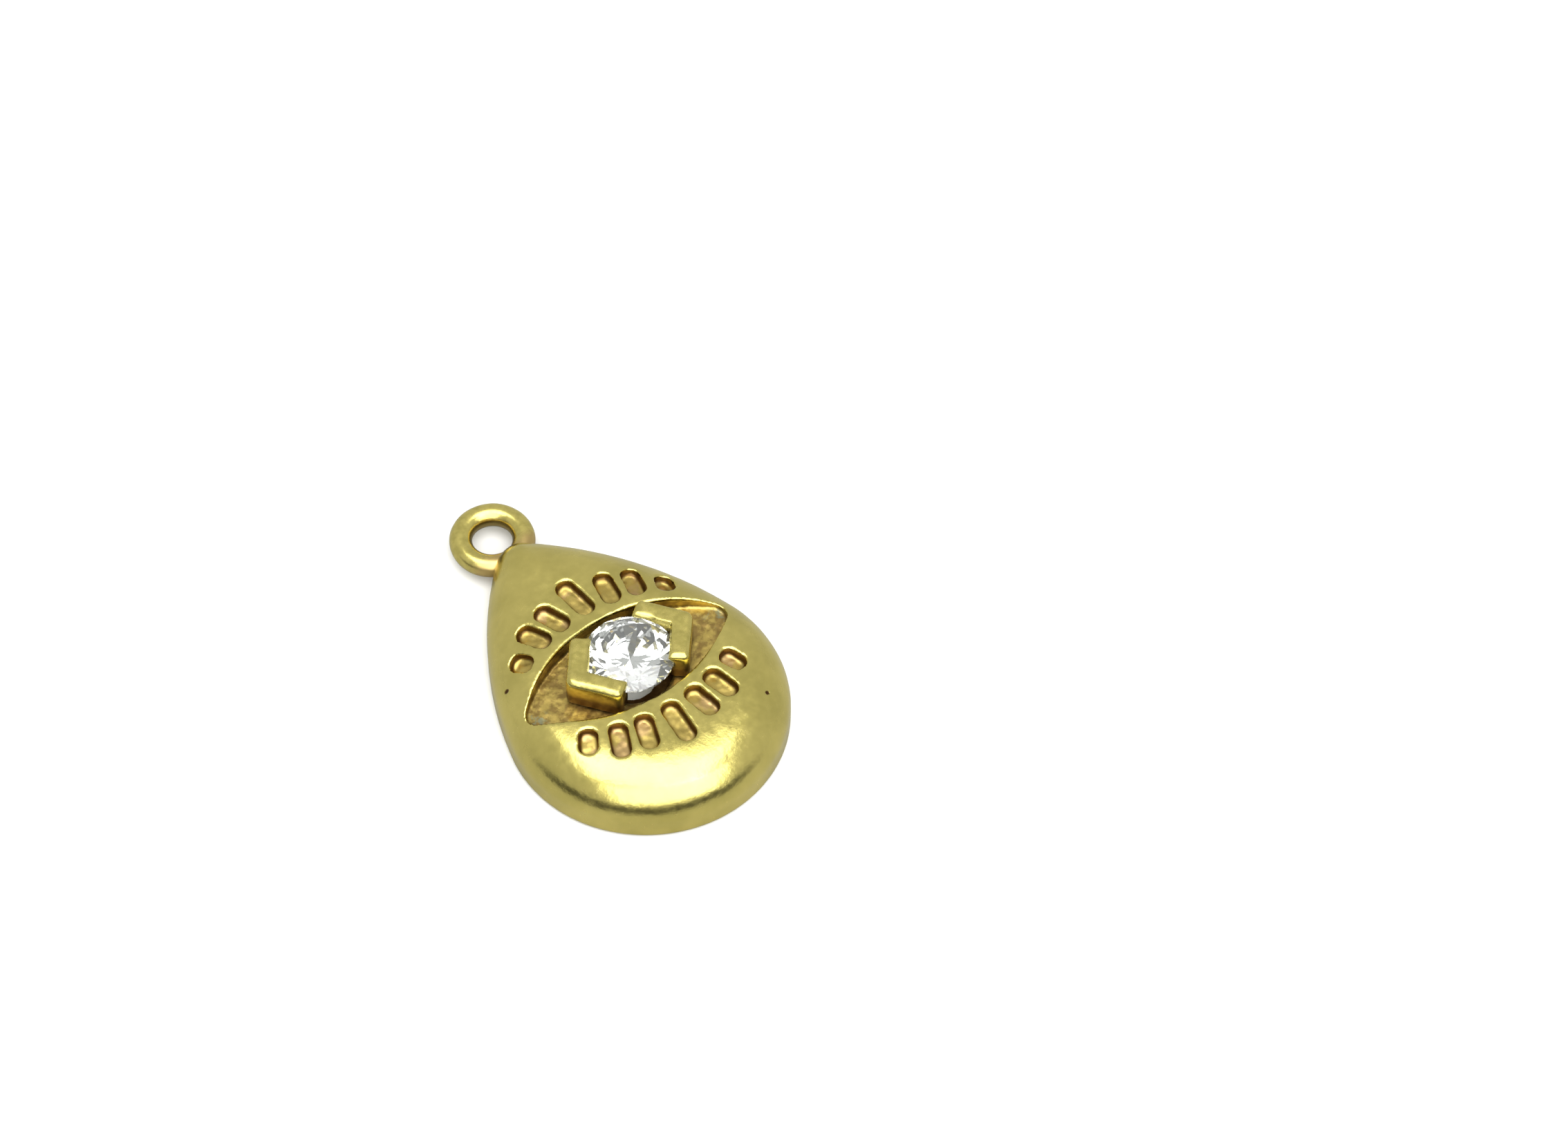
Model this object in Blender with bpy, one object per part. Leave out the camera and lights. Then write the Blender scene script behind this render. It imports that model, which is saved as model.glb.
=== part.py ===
"""Evil eye charm: a cast teardrop body, two V prongs, a brilliant-cut stone and a soldered hanging ring.

The charm lies on its flat back. X runs across it, Y runs up to the hanging ring and Z is its thickness.
"""

from math import atan2, cos, pi, radians, sin, sqrt, tan

import bmesh
import bpy
from mathutils import Matrix, Vector
from mathutils.bvhtree import BVHTree

MM = 0.001

# Teardrop outline: a large round end and a small tip, joined by two long side arcs.
ROUND_END_RADIUS = 6.31 * MM
TIP_RADIUS = 1.22 * MM
TIP_DISTANCE = 9.15 * MM
SIDE_RADIUS = 17.5 * MM

# Thickness of the body, from the flat back to the top of the dome.
BODY_HEIGHT = 3.02 * MM
DOME_RISE = 0.12 * MM
SHOULDER_START = 1.0 * MM
SHOULDER_WIDTH = 2.6 * MM
BACK_EDGE_RADIUS = 0.25 * MM
TIP_CORE_RADIUS = 0.34 * MM

# Stone: a round brilliant.
STONE_DIAMETER = 4.0 * MM
GIRDLE_THICKNESS = 0.16 * MM
CROWN_ANGLE = radians(34.0)
PAVILION_ANGLE = radians(41.0)
TABLE_SHARE = 0.64
STAR_SHARE = 0.48
LOWER_HALF_SHARE = 0.77

# Eye recess: two lid arcs that meet in rounded corners.
EYE_DISTANCE = 1.42 * MM
EYE_TURN = radians(-2.5)
EYE_HALF_LENGTH = 5.52 * MM
LID_GAP = 0.43 * MM
EYE_CORNER_RADIUS = 0.7 * MM
RECESS_DEPTH = 0.77 * MM

# Hole under the stone: a wide bore with a narrower light hole through the back.
SEAT_LEDGE = 0.05 * MM
SEAT_DEPTH = 0.95 * MM
LIGHT_HOLE_RADIUS = 1.1 * MM

# Prongs: each one is a V whose corner points along the eye.
GIRDLE_CLEARANCE = 0.9 * MM
PRONG_HEIGHT = 1.5 * MM
PRONG_WIDTH = 0.96 * MM
PRONG_ARM_LENGTH = 2.56 * MM
PRONG_HALF_ANGLE = radians(51.5)
PRONG_CORNER_GAP = 0.16 * MM
PRONG_SIDE_RADIUS = 0.2 * MM
PRONG_TOP_RADIUS = 0.22 * MM
STONE_SHIFT = 0.16 * MM

# Lashes: rounded pockets in two rows that fan out from the lids.
LASH_WIDTH = 0.93 * MM
LASH_LENGTHS = (2.26 * MM, 1.85 * MM, 1.78 * MM, 1.3 * MM)
LASH_LEANS = (radians(0.0), radians(15.0), radians(20.0), radians(29.0))
LASH_PITCH = 1.1 * MM
LASH_GAP = 0.46 * MM
LASH_DEPTH = 0.46 * MM
LASH_CORNER_RADIUS = 0.42 * MM
LASH_FLOOR_RADIUS = 0.2 * MM
UPPER_ROW_CUT = 0.08 * MM
UPPER_ROW_SWAY = radians(6.0)
LOWER_ROW_SWAY = radians(-4.5)

# Hanging ring: a closed ring of round wire, soldered into a saddle in the tip.
RING_RADIUS = 1.41 * MM
WIRE_RADIUS = 0.51 * MM
RING_HEIGHT = 0.855 * MM
RING_OVERLAP = 0.33 * MM

# Clearances left for solder and for the stone in its prongs.
SOLDER_GAP = 0.02 * MM
STONE_GAP = 0.02 * MM
CUT_OVERRUN = 1.0 * MM

# How close two points count as one, and two heights as the same.
WELD_DISTANCE = 1e-4 * MM
SAME_HEIGHT = 1e-3 * MM

STONE_RADIUS = STONE_DIAMETER / 2
STRAIGHT_INSET = TIP_RADIUS - TIP_CORE_RADIUS
FLOOR_HEIGHT = BODY_HEIGHT - RECESS_DEPTH
GIRDLE_HEIGHT = FLOOR_HEIGHT + GIRDLE_CLEARANCE
EYE_HALF_HEIGHT = STONE_RADIUS + LID_GAP
LID_RADIUS = (EYE_HALF_LENGTH**2 + EYE_HALF_HEIGHT**2) / (2 * EYE_HALF_HEIGHT)
TABLE_RADIUS = STONE_RADIUS * TABLE_SHARE
TABLE_HEIGHT = GIRDLE_THICKNESS / 2 + tan(CROWN_ANGLE) * (STONE_RADIUS - TABLE_RADIUS)
CULET_DEPTH = GIRDLE_THICKNESS / 2 + tan(PAVILION_ANGLE) * STONE_RADIUS
RING_DISTANCE = TIP_DISTANCE + TIP_RADIUS + RING_RADIUS - RING_OVERLAP
MIDDLE_DISTANCE = (RING_DISTANCE + RING_RADIUS + WIRE_RADIUS - ROUND_END_RADIUS) / 2

OUTLINE_STEPS = 16
TIP_STEPS = 10
BACK_EDGE_STEPS = 3
SHOULDER_STEPS = 9
DOME_STEPS = 6
LID_STEPS = 26
CORNER_STEPS = 5
LASH_CORNER_STEPS = 4
LASH_FLOOR_STEPS = 2
PRONG_SIDE_STEPS = 3
PRONG_TOP_STEPS = 4
ROUND_STEPS = 48
WIRE_STEPS = 24


def clear_scene():
    """Take every object out of the scene."""
    for obj in list(bpy.data.objects):
        bpy.data.objects.remove(obj, do_unlink=True)


def new_collection(name, hidden=False):
    """Make a collection in the scene."""
    collection = bpy.data.collections.new(name)
    collection.hide_render = hidden
    bpy.context.scene.collection.children.link(collection)
    return collection


def new_material(name, colour, metallic, roughness, ior=1.5, transmission=0.0):
    """Make a plain Principled material."""
    material = bpy.data.materials.new(name)
    material.use_nodes = True
    material.diffuse_color = (*colour, 1.0)
    shader = material.node_tree.nodes["Principled BSDF"]
    shader.inputs["Base Color"].default_value = (*colour, 1.0)
    shader.inputs["Metallic"].default_value = metallic
    shader.inputs["Roughness"].default_value = roughness
    shader.inputs["IOR"].default_value = ior
    shader.inputs["Transmission Weight"].default_value = transmission
    return material


def cast_brass():
    """Raw cast brass, tumbled to a soft polish."""
    return new_material("cast_brass", (0.47, 0.38, 0.13), 1.0, 0.3)


def prong_brass():
    """Brass of the prongs, rubbed brighter than the body."""
    return new_material("prong_brass", (0.5, 0.38, 0.12), 1.0, 0.26)


def wire_brass():
    """Brass wire of the hanging ring."""
    return new_material("wire_brass", (0.52, 0.4, 0.14), 1.0, 0.22)


def clear_crystal():
    """Clear cubic zirconia."""
    return new_material("clear_crystal", (0.97, 0.98, 0.98), 0.0, 0.0, 2.15, 1.0)


def add_object(name, bm, collection, parent, material=None):
    """Turn a bmesh into a named object under its parent."""
    bmesh.ops.recalc_face_normals(bm, faces=bm.faces)
    mesh = bpy.data.meshes.new(name)
    bm.to_mesh(mesh)
    bm.free()
    obj = bpy.data.objects.new(name, mesh)
    obj.parent = parent
    collection.objects.link(obj)
    if material:
        mesh.materials.append(material)
    return obj


def add_empty(name, collection, location, turn=0.0, parent=None):
    """Add an empty that places the pieces under it."""
    obj = bpy.data.objects.new(name, None)
    obj.location = location
    obj.rotation_euler.z = turn
    obj.parent = parent
    obj.empty_display_size = 2 * MM
    collection.objects.link(obj)
    return obj


def as_cutter(obj):
    """Show a cutter as wire and keep it out of the render."""
    obj.hide_render = True
    obj.display_type = "WIRE"
    return obj


def cut(obj, cutter):
    """Cut one object out of another."""
    modifier = obj.modifiers.new(cutter.name, "BOOLEAN")
    modifier.operation = "DIFFERENCE"
    modifier.solver = "EXACT"
    modifier.object = cutter


def arc(centre, radius, start, end, steps):
    """Points of an arc, leaving out its last one."""
    angles = [start + (end - start) * step / steps for step in range(steps)]
    return [Vector((centre[0] + radius * cos(a), centre[1] + radius * sin(a))) for a in angles]


def teardrop_outline():
    """Outline points of the body and their outward directions, anticlockwise."""
    to_round = SIDE_RADIUS - ROUND_END_RADIUS
    to_tip = SIDE_RADIUS - TIP_RADIUS
    rise = (to_round**2 - to_tip**2 + TIP_DISTANCE**2) / (2 * TIP_DISTANCE)
    reach = sqrt(to_round**2 - rise**2)
    low = atan2(-rise, reach)
    high = atan2(TIP_DISTANCE - rise, reach)
    pieces = (
        ((0, 0), ROUND_END_RADIUS, -pi - low, low, 2 * OUTLINE_STEPS),
        ((-reach, rise), SIDE_RADIUS, low, high, OUTLINE_STEPS),
        ((0, TIP_DISTANCE), TIP_RADIUS, high, pi - high, TIP_STEPS),
        ((reach, rise), SIDE_RADIUS, pi - high, pi - low, OUTLINE_STEPS),
    )
    points = []
    for centre, radius, start, end, steps in pieces:
        for point in arc(centre, radius, start, end, steps):
            points.append((point, (point - Vector(centre)) / radius))
    return points


def eye_outline():
    """Outline points of the eye recess, anticlockwise."""
    drop = LID_RADIUS - EYE_HALF_HEIGHT
    reach = sqrt((LID_RADIUS - EYE_CORNER_RADIUS) ** 2 - drop**2)
    spread = atan2(drop, reach)
    points = arc((0, -drop), LID_RADIUS, spread, pi - spread, LID_STEPS)
    points += arc((-reach, 0), EYE_CORNER_RADIUS, pi - spread, pi + spread, CORNER_STEPS)
    points += arc((0, drop), LID_RADIUS, pi + spread, 2 * pi - spread, LID_STEPS)
    points += arc((reach, 0), EYE_CORNER_RADIUS, -spread, spread, CORNER_STEPS)
    return points


def body_levels():
    """Pairs of inset and height, from the edge of the back over the shoulder to the top of the dome."""
    levels = []
    for step in range(BACK_EDGE_STEPS):
        angle = pi / 2 * step / BACK_EDGE_STEPS
        levels.append((BACK_EDGE_RADIUS * (1 - sin(angle)), BACK_EDGE_RADIUS * (1 - cos(angle))))
    for step in range(SHOULDER_STEPS + 1):
        inset = SHOULDER_WIDTH * (1 - cos(pi / 2 * step / SHOULDER_STEPS))
        levels.append((inset, dome_height(inset)))
    for step in range(1, DOME_STEPS):
        inset = SHOULDER_WIDTH + (ROUND_END_RADIUS - SHOULDER_WIDTH) * step / DOME_STEPS
        levels.append((inset, dome_height(inset)))
    return levels


def dome_height(inset):
    """Height of the top at a distance in from the outline."""
    shoulder = 1 - min(inset / SHOULDER_WIDTH, 1)
    crown = 1 - inset / ROUND_END_RADIUS
    rise = BODY_HEIGHT - DOME_RISE - SHOULDER_START
    return SHOULDER_START + rise * sqrt(1 - shoulder**2) + DOME_RISE * (1 - crown**2)


def inset_point(point, outward, inset):
    """Point moved straight in from the outline at first, and towards the eye after that."""
    middle = Vector((0, EYE_DISTANCE))
    near = point - outward * min(inset, STRAIGHT_INSET)
    left = 1 - max(inset - STRAIGHT_INSET, 0) / (ROUND_END_RADIUS - STRAIGHT_INSET)
    return middle + (near - middle) * left


def add_ring(bm, points, height):
    """Add a closed loop of edges at one height."""
    verts = [bm.verts.new((point.x, point.y, height)) for point in points]
    return [bm.edges.new((a, b)) for a, b in zip(verts, verts[1:] + verts[:1])]


def body_blank():
    """The teardrop before anything is cut, lofted through its levels from back to dome."""
    outline = teardrop_outline()
    bm = bmesh.new()
    rings = []
    for inset, height in body_levels():
        points = [inset_point(point, outward, inset) for point, outward in outline]
        rings.append(add_ring(bm, points, height))
    for lower, upper in zip(rings, rings[1:]):
        bmesh.ops.bridge_loops(bm, edges=lower + upper)
    bmesh.ops.edgeloop_fill(bm, edges=rings[0])
    bmesh.ops.edgeloop_fill(bm, edges=rings[-1])
    bmesh.ops.recalc_face_normals(bm, faces=bm.faces)
    return bm


def prism(points, bottom, top):
    """A straight-sided block on an outline."""
    bm = bmesh.new()
    ring = add_ring(bm, points, bottom)
    face = bmesh.ops.edgeloop_fill(bm, edges=ring)["faces"][0]
    grown = bmesh.ops.extrude_face_region(bm, geom=[face])["geom"]
    lifted = [item for item in grown if isinstance(item, bmesh.types.BMVert)]
    bmesh.ops.translate(bm, verts=lifted, vec=(0, 0, top - bottom))
    return bm


def is_upright(edge):
    """Whether an edge runs along Z."""
    along = edge.verts[0].co - edge.verts[1].co
    return abs(along.z) > along.xy.length


def round_edges(bm, edges, radius, segments):
    """Bevel edges to a radius."""
    bmesh.ops.bevel(
        bm,
        geom=edges,
        offset=radius,
        offset_type="OFFSET",
        segments=segments,
        profile=0.5,
        affect="EDGES",
        clamp_overlap=True,
        material=-1,
    )


def edges_at(bm, height):
    """Edges that lie at one height."""
    return [e for e in bm.edges if all(abs(v.co.z - height) < SAME_HEIGHT for v in e.verts)]


def lash_block(length):
    """Cutter of one lash pocket: a rounded bar whose floor lies at minus the depth."""
    half_width = LASH_WIDTH / 2
    half_length = length / 2
    corners = ((-1, -1), (1, -1), (1, 1), (-1, 1))
    points = [Vector((x * half_width, y * half_length)) for x, y in corners]
    bm = prism(points, -LASH_DEPTH, CUT_OVERRUN)
    round_edges(bm, [e for e in bm.edges if is_upright(e)], LASH_CORNER_RADIUS, LASH_CORNER_STEPS)
    round_edges(bm, edges_at(bm, -LASH_DEPTH), LASH_FLOOR_RADIUS, LASH_FLOOR_STEPS)
    return bm


def lash_places():
    """Centre, lean and length of every lash in the frame of the eye."""
    places = []
    rows = ((1, UPPER_ROW_CUT, UPPER_ROW_SWAY), (-1, 0.0, LOWER_ROW_SWAY))
    for row, shortening, sway in rows:
        for count in range(1 - len(LASH_LENGTHS), len(LASH_LENGTHS)):
            side = -1 if count < 0 else 1
            length = LASH_LENGTHS[abs(count)]
            lean = LASH_LEANS[abs(count)] * side
            root = count * LASH_PITCH
            lid = EYE_HALF_HEIGHT - LID_RADIUS + sqrt(LID_RADIUS**2 - root**2)
            reach = LASH_GAP + length / 2
            centre = Vector((root + reach * sin(lean), row * (lid + reach * cos(lean))))
            places.append((centre, sway - lean * row, length - shortening))
    return places


def add_lash_cutters(blank, eye, collection):
    """Set a cutter square to the dome at every lash."""
    dome = BVHTree.FromBMesh(blank)
    to_body = eye.matrix_basis
    cutters = []
    for number, (centre, lean, length) in enumerate(lash_places(), 1):
        above = to_body @ Vector((centre.x, centre.y, 2 * BODY_HEIGHT))
        spot, normal, _, _ = dome.ray_cast(above, Vector((0, 0, -1)))
        block = lash_block(length)
        cutter = add_object(f"cut_lash_{number:02d}", block, collection, eye.parent)
        turn = Matrix.Rotation(EYE_TURN + lean, 4, "Z")
        tip = Vector((0, 0, 1)).rotation_difference(normal).to_matrix().to_4x4()
        cutter.matrix_basis = Matrix.Translation(spot) @ tip @ turn
        cutters.append(as_cutter(cutter))
    return cutters


def add_cylinder(bm, radius, bottom, top):
    """Add an upright cylinder."""
    middle = Matrix.Translation((0, 0, (bottom + top) / 2))
    bmesh.ops.create_cone(
        bm,
        cap_ends=True,
        segments=ROUND_STEPS,
        radius1=radius,
        radius2=radius,
        depth=top - bottom,
        matrix=middle,
    )


def add_seat_cutters(stone_place, collection):
    """Cutters of the bore under the stone and of the light hole through the back."""
    seat = bmesh.new()
    add_cylinder(seat, STONE_RADIUS - SEAT_LEDGE, FLOOR_HEIGHT - SEAT_DEPTH, BODY_HEIGHT + CUT_OVERRUN)
    light = bmesh.new()
    add_cylinder(light, LIGHT_HOLE_RADIUS, -CUT_OVERRUN, FLOOR_HEIGHT)
    return [
        as_cutter(add_object("cut_seat", seat, collection, stone_place)),
        as_cutter(add_object("cut_light_hole", light, collection, stone_place)),
    ]


def ring_mesh(wire):
    """A torus of the hanging ring, with the given wire radius."""
    bm = bmesh.new()
    along = Matrix.Translation((RING_RADIUS, 0, 0)) @ Matrix.Rotation(pi / 2, 4, "X")
    section = bmesh.ops.create_circle(bm, segments=WIRE_STEPS, radius=wire, matrix=along)
    edges = list({edge for vert in section["verts"] for edge in vert.link_edges})
    bmesh.ops.spin(
        bm,
        geom=section["verts"] + edges,
        cent=(0, 0, 0),
        axis=(0, 0, 1),
        angle=2 * pi,
        steps=ROUND_STEPS,
        use_merge=True,
    )
    bmesh.ops.remove_doubles(bm, verts=bm.verts, dist=WELD_DISTANCE)
    return bm


def star_point():
    """Radius and height of the points where the star facets end on the crown."""
    radius = TABLE_RADIUS + STAR_SHARE * (STONE_RADIUS - TABLE_RADIUS)
    drop = tan(CROWN_ANGLE) * radius * cos(pi / 8)
    return radius, GIRDLE_THICKNESS / 2 + tan(CROWN_ANGLE) * STONE_RADIUS - drop


def pavilion_point():
    """Radius and height of the points where the lower half facets end on the pavilion."""
    radius = (1 - LOWER_HALF_SHARE) * STONE_RADIUS
    return radius, tan(PAVILION_ANGLE) * radius * cos(pi / 8) - CULET_DEPTH


def pocket_mesh():
    """Turned cutter that clears the whole stone, as a setting bur would."""
    girdle_radius = STONE_RADIUS + STONE_GAP
    girdle_top = GIRDLE_THICKNESS / 2 + STONE_GAP
    star_radius, star_height = star_point()
    low_radius, low_height = pavilion_point()
    profile = (
        (0, -CULET_DEPTH - 2 * STONE_GAP),
        (low_radius, low_height - 2 * STONE_GAP),
        (girdle_radius, -girdle_top),
        (girdle_radius, girdle_top),
        (star_radius, star_height + 2 * STONE_GAP),
        (TABLE_RADIUS, TABLE_HEIGHT + 2 * STONE_GAP),
        (0, TABLE_HEIGHT + 2 * STONE_GAP),
    )
    bm = bmesh.new()
    verts = [bm.verts.new((x, 0, z)) for x, z in profile]
    edges = [bm.edges.new(pair) for pair in zip(verts, verts[1:])]
    bmesh.ops.spin(
        bm,
        geom=verts + edges,
        cent=(0, 0, 0),
        axis=(0, 0, 1),
        angle=2 * pi,
        steps=2 * ROUND_STEPS,
        use_merge=True,
    )
    bmesh.ops.remove_doubles(bm, verts=bm.verts, dist=WELD_DISTANCE)
    return bm


def around(radius, angle, height):
    """Point at a radius, an angle and a height."""
    return Vector((radius * cos(angle), radius * sin(angle), height))


def facet_corners():
    """Three points on every facet of the brilliant, an eighth of a turn at a time."""
    half_girdle = GIRDLE_THICKNESS / 2
    star_radius, star_height = star_point()
    low_radius, low_height = pavilion_point()
    facets = []
    for count in range(8):
        main = count * pi / 4
        sides = (main - pi / 8, main + pi / 8)
        table = around(TABLE_RADIUS, main, TABLE_HEIGHT)
        upper = around(STONE_RADIUS, main, half_girdle)
        lower = around(STONE_RADIUS, main, -half_girdle)
        stars = [around(star_radius, side, star_height) for side in sides]
        tips = [around(low_radius, side, low_height) for side in sides]
        facets.append((upper, stars[0], stars[1]))
        facets.append((table, around(TABLE_RADIUS, main + pi / 4, TABLE_HEIGHT), stars[1]))
        facets.append((lower, tips[0], tips[1]))
        for side, star, tip in zip(sides, stars, tips):
            facets.append((upper, around(STONE_RADIUS, side, half_girdle), star))
            facets.append((lower, around(STONE_RADIUS, side, -half_girdle), tip))
    return facets


def brilliant():
    """A round brilliant, cut facet by facet from a cylinder with its girdle at height zero."""
    bm = bmesh.new()
    add_cylinder(bm, STONE_RADIUS, -CULET_DEPTH, TABLE_HEIGHT)
    for a, b, c in facet_corners():
        normal = (b - a).cross(c - a).normalized()
        if normal.dot(a) < 0:
            normal.negate()
        geom = bm.verts[:] + bm.edges[:] + bm.faces[:]
        sliced = bmesh.ops.bisect_plane(
            bm,
            geom=geom,
            dist=WELD_DISTANCE,
            plane_co=a,
            plane_no=normal,
            clear_outer=True,
        )
        edges = [item for item in sliced["geom_cut"] if isinstance(item, bmesh.types.BMEdge)]
        open_edges = [edge for edge in edges if edge.is_boundary]
        if open_edges:
            bmesh.ops.edgeloop_fill(bm, edges=open_edges)
    return bm


def prong_mesh():
    """A V-shaped bar that stands on the recess floor with its corner pointing along X."""
    inner = STONE_RADIUS + PRONG_CORNER_GAP
    outer = inner + PRONG_WIDTH / sin(PRONG_HALF_ANGLE)
    back = Vector((-cos(PRONG_HALF_ANGLE), sin(PRONG_HALF_ANGLE)))
    across = Vector((sin(PRONG_HALF_ANGLE), cos(PRONG_HALF_ANGLE)))
    far = Vector((outer, 0)) + back * PRONG_ARM_LENGTH
    near = far - across * PRONG_WIDTH
    flip = Vector((1, -1))
    points = [Vector((outer, 0)), far, near, Vector((inner, 0)), near * flip, far * flip]
    bm = prism(points, FLOOR_HEIGHT + SOLDER_GAP, FLOOR_HEIGHT + PRONG_HEIGHT)
    sides = [e for e in bm.edges if is_upright(e) and e.verts[0].co.xy.length > inner + SOLDER_GAP]
    round_edges(bm, sides, PRONG_SIDE_RADIUS, PRONG_SIDE_STEPS)
    round_edges(bm, edges_at(bm, FLOOR_HEIGHT + PRONG_HEIGHT), PRONG_TOP_RADIUS, PRONG_TOP_STEPS)
    return bm


def build():
    """Build the charm."""
    clear_scene()
    parts = new_collection("evil_eye_charm")
    cutters = new_collection("cutters", hidden=True)
    charm = add_empty("charm_axis", parts, (0, -MIDDLE_DISTANCE, 0))
    eye = add_empty("eye_axis", parts, (0, EYE_DISTANCE, 0), EYE_TURN, charm)
    stone_place = add_empty("stone_axis", parts, (STONE_SHIFT, 0, 0), 0.0, eye)

    blank = body_blank()
    lashes = add_lash_cutters(blank, eye, cutters)
    body = add_object("charm_body", blank, parts, charm, cast_brass())
    recess = prism(eye_outline(), FLOOR_HEIGHT, BODY_HEIGHT + CUT_OVERRUN)
    cut(body, as_cutter(add_object("cut_eye_recess", recess, cutters, eye)))
    for cutter in lashes + add_seat_cutters(stone_place, cutters):
        cut(body, cutter)

    ring = add_object("hanging_ring", ring_mesh(WIRE_RADIUS), parts, charm, wire_brass())
    saddle = as_cutter(add_object("cut_saddle", ring_mesh(WIRE_RADIUS + SOLDER_GAP), cutters, charm))
    for piece in (ring, saddle):
        piece.location = (0, RING_DISTANCE, RING_HEIGHT)
    cut(body, saddle)

    stone = add_object("stone", brilliant(), parts, stone_place, clear_crystal())
    stone.location.z = GIRDLE_HEIGHT
    pocket = as_cutter(add_object("cut_stone_pocket", pocket_mesh(), cutters, stone_place))
    pocket.location.z = GIRDLE_HEIGHT
    brass = prong_brass()
    for name, turn in (("prong_right", 0.0), ("prong_left", pi)):
        prong = add_object(name, prong_mesh(), parts, stone_place, brass)
        prong.rotation_euler.z = turn
        cut(prong, pocket)


build()
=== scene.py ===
"""Looks of the evil eye charm: a cast brass teardrop, two V prongs, a clear stone and a hanging ring.

Pieces are shaped in millimetres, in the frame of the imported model, and brought to metres at the end.
"""

from math import atan2, cos, pi, radians, sin, sqrt, tan

import bmesh
import bpy
from mathutils import Matrix, Vector, noise
from mathutils.bvhtree import BVHTree


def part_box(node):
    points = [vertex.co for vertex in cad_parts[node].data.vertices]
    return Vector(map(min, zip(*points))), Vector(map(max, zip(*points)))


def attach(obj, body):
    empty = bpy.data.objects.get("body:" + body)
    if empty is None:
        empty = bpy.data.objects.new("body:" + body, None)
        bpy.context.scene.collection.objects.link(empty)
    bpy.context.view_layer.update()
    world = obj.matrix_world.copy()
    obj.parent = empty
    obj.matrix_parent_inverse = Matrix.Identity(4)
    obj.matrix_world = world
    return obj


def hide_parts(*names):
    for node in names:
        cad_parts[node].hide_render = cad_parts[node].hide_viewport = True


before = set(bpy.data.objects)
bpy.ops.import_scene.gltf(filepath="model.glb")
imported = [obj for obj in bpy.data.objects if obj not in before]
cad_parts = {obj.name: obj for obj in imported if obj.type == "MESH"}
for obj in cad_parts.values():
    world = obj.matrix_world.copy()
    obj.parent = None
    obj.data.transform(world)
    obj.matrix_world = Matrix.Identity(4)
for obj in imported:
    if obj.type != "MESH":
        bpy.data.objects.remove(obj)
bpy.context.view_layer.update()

METRES = 0.001

# Teardrop outline: a large round end and a small tip, joined by two long side arcs.
ROUND_END_RADIUS = 6.31
TIP_RADIUS = 1.22
TIP_DISTANCE = 9.15
SIDE_RADIUS = 17.5

# Thickness of the body, from the flat back to the top of the dome.
BODY_HEIGHT = 3.02
DOME_RISE = 0.12
SHOULDER_START = 1.0
SHOULDER_WIDTH = 2.6
BACK_EDGE_RADIUS = 0.25
TIP_CORE_RADIUS = 0.34

# Stone and the hole under it.
STONE_RADIUS = 2.0
GIRDLE_THICKNESS = 0.16
CROWN_ANGLE = radians(34.0)
PAVILION_ANGLE = radians(41.0)
TABLE_RADIUS = 1.28
STAR_SHARE = 0.48
PAVILION_TIP_SHARE = 0.23
STONE_GAP = 0.02
SEAT_LEDGE = 0.05
SEAT_DEPTH = 0.95
LIGHT_HOLE_RADIUS = 1.1
GIRDLE_CLEARANCE = 0.9
STONE_SHIFT = 0.16

# Eye recess: two lid arcs that meet in rounded corners.
EYE_DISTANCE = 1.42
EYE_TURN = radians(-2.5)
EYE_HALF_LENGTH = 5.52
LID_GAP = 0.43
EYE_CORNER_RADIUS = 0.7
RECESS_DEPTH = 0.77
LID_RIM_RADIUS = 0.07
RECESS_FILLET = 0.08

# Prongs: each one is a V whose corner points along the eye.
PRONG_HEIGHT = 1.5
PRONG_WIDTH = 0.96
PRONG_ARM_LENGTH = 2.56
PRONG_HALF_ANGLE = radians(51.5)
PRONG_CORNER_GAP = 0.16
PRONG_SIDE_RADIUS = 0.28
PRONG_TOP_RADIUS = 0.4

# Lashes: rounded pockets in two rows that fan out from the lids.
LASH_WIDTH = 0.93
LASH_LENGTHS = (2.26, 1.85, 1.78, 1.3)
LASH_LEANS = (radians(0.0), radians(15.0), radians(20.0), radians(29.0))
LASH_PITCH = 1.1
LASH_GAP = 0.46
LASH_DEPTH = 0.46
LASH_CORNER_RADIUS = 0.42
LASH_FLOOR_RADIUS = 0.2
LASH_RIM_RADIUS = 0.05
UPPER_ROW_CUT = 0.08
UPPER_ROW_SWAY = radians(6.0)
LOWER_ROW_SWAY = radians(-4.5)

# Hanging ring.
RING_RADIUS = 1.41
WIRE_RADIUS = 0.51
SOLDER_GAP = 0.02
CUT_OVERRUN = 1.0
WELD_DISTANCE = 1e-4
SAME_HEIGHT = 1e-3

# Unevenness of the casting: wavelength and height of each kind.
WAVE_LENGTH, WAVE_HEIGHT = 2.6, 0.012
DIMPLE_LENGTH, DIMPLE_HEIGHT = 0.6, 0.005
FLOOR_LENGTH, FLOOR_ROUGHNESS = 0.24, 0.016
POCKET_LENGTH, POCKET_ROUGHNESS = 0.55, 0.04
PIT_SPOTS = ((-4.87, 0.18), (3.96, -7.05))
PIT_RADIUS = 0.16
PIT_DEPTH = 0.05

PRONG_WAVE_LENGTH, PRONG_WAVE_HEIGHT = 0.9, 0.02
RING_WAVE_LENGTH, RING_WAVE_HEIGHT = 1.2, 0.01

# Melting of the edges: cell of the remesh and rounds of smoothing.
BODY_CELL, BODY_SMOOTHING = 0.075, 2
PRONG_CELL, PRONG_SMOOTHING = 0.045, 14
CREST_SMOOTHING = 24

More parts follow.
